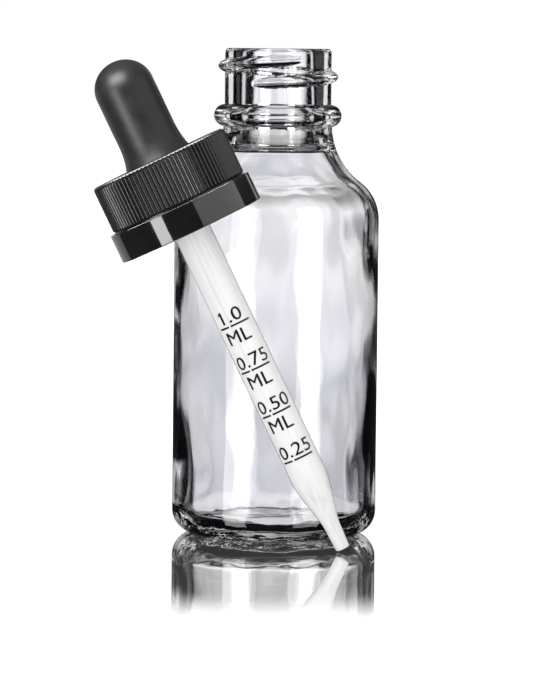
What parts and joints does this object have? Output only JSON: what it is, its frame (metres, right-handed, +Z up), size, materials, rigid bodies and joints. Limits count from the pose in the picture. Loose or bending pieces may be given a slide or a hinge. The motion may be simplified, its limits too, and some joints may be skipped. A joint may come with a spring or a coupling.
{
  "type": "medicine dropper",
  "caption": "Graduated glass medicine dropper with a rubber bulb and a push-and-turn closure, leaning in front of its clear round bottle.",
  "frame": {"origin": "middle of the set's footprint, on the floor that the bottle stands on", "axes": "+Z up along the bottle's axis, -Y towards the side that the dropper leans on, +X towards the dropper's tip"},
  "size_m": [0.0538, 0.0638, 0.0938],
  "materials": {
    "clear_glass": "polished clear",
    "black_rubber": "matt",
    "plain_black_plastic": "moulded",
    "satin_black_plastic": "satin, finely ribbed",
    "gloss_black_plastic": "mirror gloss",
    "spring_steel": "bright",
    "seal_foam": "soft foamed liner"
  },
  "bodies": {
    "bottle": {"bottle": "clear_glass"},
    "dropper": {"glass_pipette": "clear_glass", "inner_cap": "plain_black_plastic", "retaining_ring": "gloss_black_plastic", "seal_washer": "seal_foam"},
    "bulb": {"rubber_bulb": "black_rubber"},
    "spring": {"spring_ring": "spring_steel"},
    "shell": {"outer_shell": "satin_black_plastic"}
  },
  "joints": [
    {"name": "dropper_lift", "type": "slide", "parent": "bottle", "child": "dropper", "axis": [0, 0, 1], "range_m": [0, 0.11]},
    {"name": "bulb_squeeze", "type": "slide", "parent": "dropper", "child": "bulb", "axis": [0.4368, 0, -0.8996], "range_m": [0, 0.006], "stiffness_N_per_m": 1000, "deforming": ["rubber_bulb"]},
    {"name": "shell_press", "type": "slide", "parent": "dropper", "child": "spring", "axis": [0.4368, 0, -0.8996], "range_m": [0, 0.001], "stiffness_N_per_m": 3000, "deforming": ["spring_ring"]},
    {"name": "shell_turn", "type": "hinge", "parent": "spring", "child": "shell", "pos_m": [-0.01264, -0.01779, 0.06842], "axis": [-0.4368, 0, 0.8996], "continuous": true}
  ]
}
